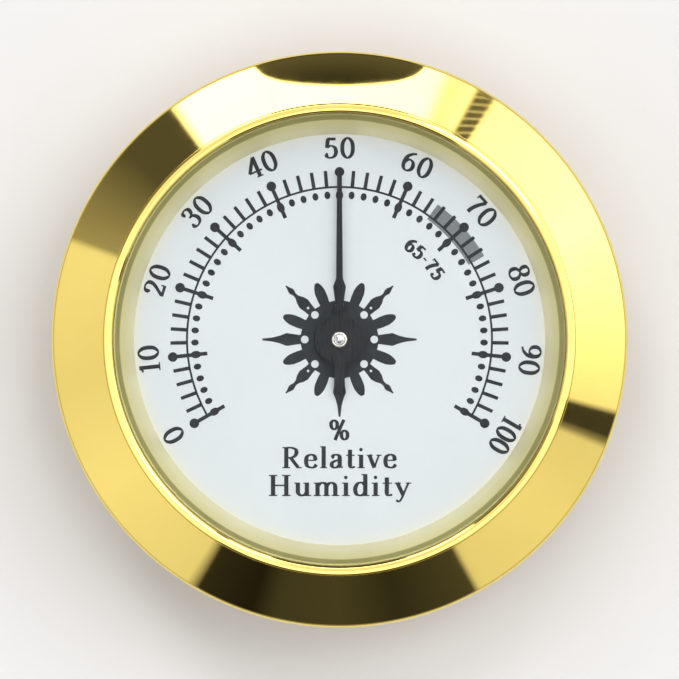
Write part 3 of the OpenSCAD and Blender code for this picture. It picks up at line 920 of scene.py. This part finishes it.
# compass rose: eight long points and eight short blunt rays round a dark disc with light spots
def rose():
    loop = []
    for k in range(16):
        az = k * 22.5
        a = math.radians(az)
        ux, uy = math.sin(a), math.cos(a)
        if k % 2:
            prof = [(3.02, 0.78), (3.5, 0.86), (4.05, 0.84), (4.40, 0.66), (4.66, 0.40), (4.76, 0.20)]
        elif k % 4:
            prof = [(3.05, 0.70), (3.45, 0.78), (3.95, 0.94), (4.35, 0.72), (4.70, 0.32), (5.00, 0.26), (5.25, 0.46), (5.45, 0.42), (5.70, 0.20), (5.95, 0.10)]
        else:
            prof = [(3.05, 0.70), (3.55, 0.84), (4.15, 1.02), (4.65, 0.62), (5.20, 0.34), (6.05, 0.14)]
        for r, w in prof:
            loop.append((ux * r - uy * w / 2, uy * r + ux * w / 2))
        for r, w in reversed(prof):
            loop.append((ux * r + uy * w / 2, uy * r - ux * w / 2))
    holes = [disc_loop(*polar(k * 45, 2.72), 0.30, 20) for k in range(8)]
    holes += [disc_loop(*polar(k * 45, 3.48), 0.10, 12) for k in range(8) if k % 2]
    return [loop] + holes


bm = bmesh.new()
prism(bm, rose(), *Z_INK)
mesh_object("print_rose", bm, "case", [INK])

# ---------------------------------------------------------------- pointer, hub and arbor

pz0, pz1 = PTR_LO[2], PTR_HI[2]
tip, tail = PTR_HI[1], -PTR_LO[1]


def blade_loop(w0, w1, length, sign=1.0):
    pts = [(-w0 / 2, 0), (w0 / 2, 0)]
    pts += [(w1 / 2 * math.cos(math.radians(a)), length - w1 / 2 * (1 - math.sin(math.radians(a)))) for a in range(0, 181, 15)]
    return [(sign * x, sign * y) for x, y in pts]


bm = bmesh.new()
prism(bm, [disc_loop(0, 0, 1.9, 96)], pz0, pz1)
prism(bm, [blade_loop(0.62, 0.36, tip)], pz0, pz1)
prism(bm, [blade_loop(0.64, 0.88, tail, -1.0)], pz0, pz1)
bm = union_all(bm)
hole = bmesh.new()
prism(hole, [disc_loop(0, 0, 0.62, 64)], pz0 - 1, pz1 + 1)
bm = boolean(bm, hole, "DIFFERENCE")
bmesh.ops.dissolve_limit(bm, angle_limit=math.radians(1.0), verts=bm.verts, edges=bm.edges)
ob = mesh_object("pointer_blued", bm, "pointer_staff", [POINTER], ["pointer"])
bev = ob.modifiers.new("edge", "BEVEL")
bev.width, bev.segments, bev.limit_method, bev.angle_limit = 0.045 * MM, 2, "ANGLE", math.radians(50)

hz0, hz1 = HUB_LO[2], HUB_HI[2]
hub = [(0.42, hz0), (0.94, hz0), (1.0, hz0 + 0.06), (1.0, pz0), (0.6, pz0), (0.6, hz1 - 0.10)]
hub += arc(0.50, hz1 - 0.10, 0.10, 0, 90, 5)[1:] + [(0.46, hz1), (0.42, hz1 - 0.04)]
bm = lathe(hub, segs=96, sharp=24)
mesh_object("pointer_hub_polished", bm, "pointer_staff", [BRIGHT], ["pointer_hub"])

az0, az1 = ARB_LO[2], ARB_HI[2]
staff = [(0, az0)] + arc(0.12, az0 + 0.08, 0.08, -90, 0, 4)
zp = SCR_HI[2] + 0.1
collar = DIAL_LO[2] - 0.5  # underside of the dial plate
staff += [(0.2, zp - 0.05), (0.25, zp), (0.46, zp), (0.5, zp + 0.04), (0.5, collar - 0.75), (0.86, collar - 0.75), (0.9, collar - 0.71)]
staff += [(0.9, collar - 0.54), (0.86, collar - 0.50), (0.4, collar - 0.50), (0.4, az1 - 0.10)]
staff += arc(0.0, az1 - 0.50, 0.50, 58, 90, 5)
staff[-1] = (0.0, az1)
bm = lathe(staff, segs=72, sharp=24)
mesh_object("arbor_turned", bm, "pointer_staff", [STEEL], ["arbor"])

# ---------------------------------------------------------------- rear case

rc, corner = 18.5, 0.9
fz = FLOOR_Z
panel, floor_in = fz + 0.4, fz + 0.9
case = [(0, panel), (15.35, panel)]
case += arc(15.35, panel - 0.25, 0.25, 90, 53, 3)[1:]
case += [(15.98, fz + 0.03), (16.06, fz)]
case += [(17.6, fz)] + arc(17.6, fz + 0.9, corner, -90, 0, 12)[1:]
case += [(18.5, -0.11), (18.44, -0.05), (18.3, -0.05), (18.3, 0.75), (18.25, 0.8), (18.04, 0.8), (18.0, 0.76)]
case += [(18.0, fz + 0.9)] + arc(17.6, fz + 0.9, 0.4, 0, -90, 6)[1:]
case += [(16.30, fz + 0.5), (15.80, floor_in), (0, floor_in)]
bm = lathe(case, segs=320, sharp=24)
cut = bmesh.new()


def spool(x, y, r, flare, z_out, z_in):
    """A cutter for a hole whose edges are eased on both sides of the sheet."""
    tool = lathe(
        [(0, z_out - 0.4), (r + flare + 0.2, z_out - 0.2), (r + flare, z_out), (r + flare * 0.35, z_out + flare * 0.55), (r, z_out + flare * 1.1),
         (r, z_in - flare * 0.6), (r + flare * 0.6, z_in), (r + flare, z_in + 0.3), (0, z_in + 0.4)],
        segs=64,
    )
    bmesh.ops.translate(tool, vec=(x, y, 0), verts=tool.verts)
    me = bpy.data.meshes.new("tool")
    tool.to_mesh(me)
    tool.free()
    cut.from_mesh(me)
    bpy.data.meshes.remove(me)


spool(0, 0, 2.6, 0.12, panel, floor_in)
for k in range(8):
    a = math.radians(22.5 + 45 * k)
    spool(12 * math.cos(a), 12 * math.sin(a), 1.4, 0.10, panel, floor_in)
bm = boolean(bm, cut, "DIFFERENCE")
bmesh.ops.dissolve_limit(bm, angle_limit=math.radians(0.05), verts=bm.verts, edges=bm.edges)
smooth_by_angle(bm, 26)
mesh_object("rear_case_drawn", bm, "case", [CASE], ["rear_case"])

# ---------------------------------------------------------------- calibration screw

sz0, sz1 = SCR_LO[2], SCR_HI[2]
head_r, head_t = (SCR_HI[0] - SCR_LO[0]) / 2, 0.9
screw = [(0, sz0), (head_r - 0.22, sz0)] + arc(head_r - 0.22, sz0 + 0.22, 0.22, -90, 0, 5)[1:]
screw += [(head_r, sz0 + head_t - 0.06), (head_r - 0.06, sz0 + head_t), (1.2, sz0 + head_t), (1.2, sz1 - 0.08), (1.12, sz1), (0.25, sz1), (0.25, sz1 - 0.8), (0, sz1 - 0.86)]
bm = lathe(screw, segs=96, sharp=24)
cut = bmesh.new()
prism(cut, [[(-3, -0.35), (3, -0.35), (3, 0.35), (-3, 0.35)]], sz0 - 1, sz0 + 0.5)
bm = boolean(bm, cut, "DIFFERENCE")
bmesh.ops.dissolve_limit(bm, angle_limit=math.radians(0.05), verts=bm.verts, edges=bm.edges)
smooth_by_angle(bm, 26)
# the slot's faces take the darker brass, a painted shade in the slot
for f in bm.faces:
    c = f.calc_center_median()
    if abs(c.y) < 0.36 and sz0 + 0.01 < c.z < sz0 + 0.51 and math.hypot(c.x, c.y) < head_r - 0.02:
        f.material_index = 1
ob = mesh_object("calibration_screw_turned", bm, "regulator", [BRASS, SLOT_SHADE], ["calibration_screw"])

# ---------------------------------------------------------------- strip coil: the real strip winds up as the pointer turns; here it is one fixed wound shape


def coil():
    turns, r1, r0, t = 5, 7.0, 1.6, 0.25
    last = 360 * turns
    steps = turns * 72
    z0, z1 = COIL_LO[2], COIL_HI[2]
    line = [(-6.0, None)] + [(i * last / steps, None) for i in range(steps + 1)]
    centre = []
    for a, _ in line:
        r = r1 - (r1 - r0) * a / last
        w = math.radians(a)
        centre.append((r * math.sin(w), r * math.cos(w)))
    centre += [(0.0, 1.45), (0.0, 1.2), (0.0, 0.8)]
    n = len(centre)
    length = [0.0]
    for i in range(1, n):
        length.append(length[-1] + math.dist(centre[i], centre[i - 1]))
    bm = bmesh.new()
    rows, share = [], []
    b = 0.04
    for i, (x, y) in enumerate(centre):
        p, q = centre[max(i - 1, 0)], centre[min(i + 1, n - 1)]
        dx, dy = q[0] - p[0], q[1] - p[1]
        d = math.hypot(dx, dy)
        nx, ny = -dy / d * t / 2, dx / d * t / 2
        k = 1 - 2 * b / t
        ring = [(nx, ny, z0 + b), (nx, ny, z1 - b), (nx * k, ny * k, z1), (-nx * k, -ny * k, z1), (-nx, -ny, z1 - b), (-nx, -ny, z0 + b), (-nx * k, -ny * k, z0), (nx * k, ny * k, z0)]
        rows.append([bm.verts.new((x + u, y + v, w)) for u, v, w in ring])
        share += [length[i] / length[-1]] * len(ring)
    for a, c in zip(rows, rows[1:]):
        for j in range(8):
            f = bm.faces.new((a[j], a[(j + 1) % 8], c[(j + 1) % 8], c[j]))
            f.smooth = True
    bm.faces.new(rows[0])
    bm.faces.new(rows[-1])
    bmesh.ops.recalc_face_normals(bm, faces=bm.faces)
    for e in bm.edges:
        if len(e.link_faces) == 2 and e.calc_face_angle(0.0) > math.radians(30):
            e.smooth = False
    return bm, share


bm, share = coil()
ob = mesh_object("strip_coil_wound", bm, None, [COIL], ["strip_coil"])
wound = [v.co.copy() for v in ob.data.vertices]
for v, s in zip(ob.data.vertices, share):
    v.co = (s, 0.0, 0.0)  # laid out straight for a moment, each point at its share of the strip's length, and then put back as wound
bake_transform(ob)
for v, co in zip(ob.data.vertices, wound):
    v.co = co
ob.data.update()

# ---------------------------------------------------------------- CAD nodes that stay, with their materials


def dress(node, material):
    me = frame["nodes"][node].data
    me.materials.clear()
    me.materials.append(material)


dress("dial_face", PAINT)
dress("dial_plate", ALU)
dress("bridge_rivets", RIVET)
dress("front_bush", BRASS)
dress("bridge", NICKEL)
dress("spacer_sleeve", BLACK)
dress("lens_gasket", RUBBER)
dress("spring_washer", STEEL)
dress("regulator_arm", NICKEL)
dress("coil_stud", BRASS)
dress("coil_pin", STEEL)
dress("coil_collet", BRASS)

# ---------------------------------------------------------------- floor


def floor():
    """A pale table. It is open under the case, where the case hides it, and seen from below it doesn't hide the object."""
    a = Mat("pale_floor")
    n = a.noise(40.0, 4.0, 0.55)
    fine = a.noise(2200.0, 3.0, 0.6)
    a.set(
        Base_Color=a.mix(a.remap(n, 0.3, 0.7, 0, 1), rgb(0.770, 0.764, 0.752), rgb(0.782, 0.776, 0.764)),
        Roughness=a.remap(fine, 0.2, 0.8, 0.62, 0.80),
    )
    a.p.inputs["Specular IOR Level"].default_value = 0.25
    clear = a.node("ShaderNodeBsdfTransparent")
    back = a.node("ShaderNodeNewGeometry")
    path = a.node("ShaderNodeLightPath")
    # the foot's own reflection doesn't find the unlit strip that it stands on
    foot = a.math("MULTIPLY", path.outputs["Is Glossy Ray"], a.smoothstep(a.radius(), 0.0183, 0.0187, 1.0, 0.0))
    mixed = a.node("ShaderNodeMixShader")
    a.link(a.math("MAXIMUM", back.outputs["Backfacing"], foot), mixed.inputs[0])
    a.link(a.p.outputs[0], mixed.inputs[1])
    a.link(clear.outputs[0], mixed.inputs[2])
    a.link(mixed.outputs[0], a.out.inputs["Surface"])
    bm = bmesh.new()
    rings = []
    for r in (17.0, 60.0, 400.0, 3000.0):
        rings.append([bm.verts.new((r * math.cos(2 * math.pi * k / 96), r * math.sin(2 * math.pi * k / 96), FLOOR_Z - 0.02)) for k in range(96)])
    for p, q in zip(rings, rings[1:]):
        for k in range(96):
            bm.faces.new((p[k], q[k], q[(k + 1) % 96], p[(k + 1) % 96]))
    for f in bm.faces:
        if f.normal.z < 0:
            f.normal_flip()
    bm.normal_update()
    ob = mesh_object("floor", bm, None, [a.m])
    return ob


fl = floor()

# ---------------------------------------------------------------- light


def world():
    """A studio round the object: bright and dim panels between 28 and 66 degrees up, which the sloped bezel mirrors, and soft light above and below."""
    w = bpy.data.worlds.new("studio")
    bpy.context.scene.world = w
    w.use_nodes = True
    t = w.node_tree
    t.nodes.clear()

    def node(kind, **props):
        n = t.nodes.new(kind)
        for k, v in props.items():
            setattr(n, k, v)
        return n

    def m(op, a, b=0.0, c=None, clamp=False):
        n = node("ShaderNodeMath", operation=op, use_clamp=clamp)
        for s, v in zip(n.inputs, (a, b, c)):
            if v is None:
                continue
            if isinstance(v, bpy.types.NodeSocket):
                t.links.new(v, s)
            else:
                s.default_value = v
        return n.outputs[0]

    def step(v, lo, hi, a=0.0, b=1.0):
        n = node("ShaderNodeMapRange", clamp=True, interpolation_type="SMOOTHSTEP")
        t.links.new(v, n.inputs["Value"])
        for k, x in (("From Min", lo), ("From Max", hi), ("To Min", a), ("To Max", b)):
            n.inputs[k].default_value = x
        return n.outputs["Result"]

    co = node("ShaderNodeTexCoord").outputs["Generated"]
    sep = node("ShaderNodeSeparateXYZ")
    t.links.new(co, sep.inputs[0])
    x, y, z = sep.outputs
    az = m("ARCTAN2", x, y)  # clockwise from +Y, radians
    azd = m("MULTIPLY", az, 180 / math.pi)
    el = m("MULTIPLY", m("ARCSINE", z), 180 / math.pi)

    ramp = node("ShaderNodeValToRGB")
    cr = ramp.color_ramp
    cr.interpolation = "LINEAR"
    peak = 5.0
    # azimuth in degrees, radiance
    stops = [(-180, 0.065), (-167, 0.055), (-162, 0.015), (-149.6, 0.030), (-148.6, 0.86), (-122, 1.02), (-100, 0.90), (-70.4, 1.00), (-69.2, 0.38), (-60, 0.25),
             (-49, 0.095), (-35.6, 0.085), (-34.8, 4.7), (-22, 4.9), (20.5, 3.9), (23.2, 1.5), (28.9, 2.1), (29.5, 0.15), (33.0, 0.15), (33.6, 2.1), (66, 2.65), (91, 1.50),
             (104.2, 1.15), (105.0, 0.055), (110.8, 0.055), (111.8, 0.86), (130, 0.95), (150.4, 0.86), (151.4, 0.070), (168, 0.033), (180, 0.065)]
    while len(cr.elements) > 1:
        cr.elements.remove(cr.elements[-1])
    for i, (a, v) in enumerate(stops):
        pos = (a + 180) / 360
        e = cr.elements[0] if i == 0 else cr.elements.new(pos)
        e.position = pos
        e.color = (v / peak, v / peak, v / peak, 1)
    t.links.new(m("DIVIDE", m("ADD", azd, 180.0), 360.0), ramp.inputs[0])
    panels = m("MULTIPLY", ramp.outputs[0], peak)

    # a dark round card, low at the top of the dial
    q = m("DIVIDE", azd, 17.2)
    round_ = m("SQRT", m("SUBTRACT", 1.0, m("MULTIPLY", q, q), clamp=True))
    edge = m("MULTIPLY_ADD", round_, 7.6, 41.3)
    card = m("MULTIPLY", step(m("SUBTRACT", el, edge), -0.45, 0.45, 1.0, 0.0), step(m("ABSOLUTE", azd), 17.0, 17.4, 1.0, 0.0))
    card_light = step(el, 41.0, 49.0, 0.11, 0.03)
    panels = m("ADD", m("MULTIPLY", panels, m("SUBTRACT", 1.0, card)), m("MULTIPLY", card, card_light))
    # slats across the narrow dark gap beside it
    slat = m("SINE", m("MULTIPLY", m("MULTIPLY_ADD", azd, 0.55, el), 3.3))
    gap = m("MULTIPLY", step(azd, 28.9, 29.5), step(azd, 33.0, 33.6, 1.0, 0.0))
    panels = m("ADD", panels, m("MULTIPLY", m("MULTIPLY", gap, step(slat, 0.1, 0.9)), 0.5))

    band = m("MULTIPLY", step(el, 27.0, 31.0), step(el, 58.0, 64.0, 1.0, 0.0))
    above = m("MULTIPLY", step(el, 58.0, 64.0), step(el, 82.5, 84.5, 1.0, 0.16))
    below = step(el, 27.0, 31.0, 1.0, 0.0)
    light = m("MULTIPLY", panels, band)
    dimmed = m("MULTIPLY", step(azd, -75.0, -50.0), step(azd, 35.0, 60.0, 1.0, 0.0))
    light = m("ADD", light, m("MULTIPLY", above, m("MULTIPLY_ADD", dimmed, -0.75, 1.85)))
    low = m("ADD", m("MULTIPLY", m("MINIMUM", panels, 1.2), 0.35), 0.28)
    under = step(el, -8.0, -2.0, 1.0, 0.0)
    # light from below, with a dimmer belt that draws the edges of the back, and one brighter side
    belt = m("ADD", step(el, -70.0, -50.0, 0.95, 0.42), step(el, -34.0, -14.0, 0.0, 0.40))
    side = m("MULTIPLY_ADD", m("COSINE", m("ADD", az, -0.9)), 0.18, 0.90)
    low = m("ADD", m("MULTIPLY", low, m("SUBTRACT", 1.0, under)), m("MULTIPLY", under, m("MULTIPLY", belt, side)))
    behind = m("MULTIPLY", step(m("ABSOLUTE", azd), 14.0, 18.0, 1.0, 0.0), step(el, -6.0, 0.0))
    low = m("MULTIPLY", low, m("MULTIPLY_ADD", behind, -0.8, 1.0))
    light = m("ADD", light, m("MULTIPLY", below, low))

    tint = node("ShaderNodeCombineColor")
    t.links.new(light, tint.inputs[0])
    t.links.new(m("MULTIPLY", light, 0.995), tint.inputs[1])
    t.links.new(m("MULTIPLY", light, 1.0), tint.inputs[2])
    studio = node("ShaderNodeBackground")
    t.links.new(tint.outputs[0], studio.inputs[0])
    plain = node("ShaderNodeBackground")
    plain.inputs[0].default_value = (0.80, 0.80, 0.80, 1)
    path = node("ShaderNodeLightPath")
    mixed = node("ShaderNodeMixShader")
    t.links.new(path.outputs["Is Camera Ray"], mixed.inputs[0])
    t.links.new(studio.outputs[0], mixed.inputs[1])
    t.links.new(plain.outputs[0], mixed.inputs[2])
    out = node("ShaderNodeOutputWorld")
    t.links.new(mixed.outputs[0], out.inputs[0])


world()

key = bpy.data.lights.new("overhead_softbox", "AREA")
key.shape, key.size, key.size_y, key.energy = "RECTANGLE", 0.14, 0.14, 0.30
ko = bpy.data.objects.new("overhead_softbox", key)
ko.location = (0.13, 0.16, 0.70)
ko.rotation_euler = (Vector((0, 0, 0)) - Vector(ko.location)).to_track_quat("-Z", "Y").to_euler()
ko.visible_camera = False
bpy.context.scene.collection.objects.link(ko)

# ---------------------------------------------------------------- camera, straight down on the dial

cam = bpy.data.cameras.new("camera")
cam.lens, cam.sensor_width = 400.0, 36.0
co = bpy.data.objects.new("camera", cam)
co.location = (0.0, 0.0, 0.590)
co.rotation_euler = (0.0, 0.0, 0.0)
cam.clip_start, cam.clip_end = 0.01, 10.0
bpy.context.scene.collection.objects.link(co)
bpy.context.scene.camera = co
bpy.context.scene.view_settings.view_transform = "Standard"
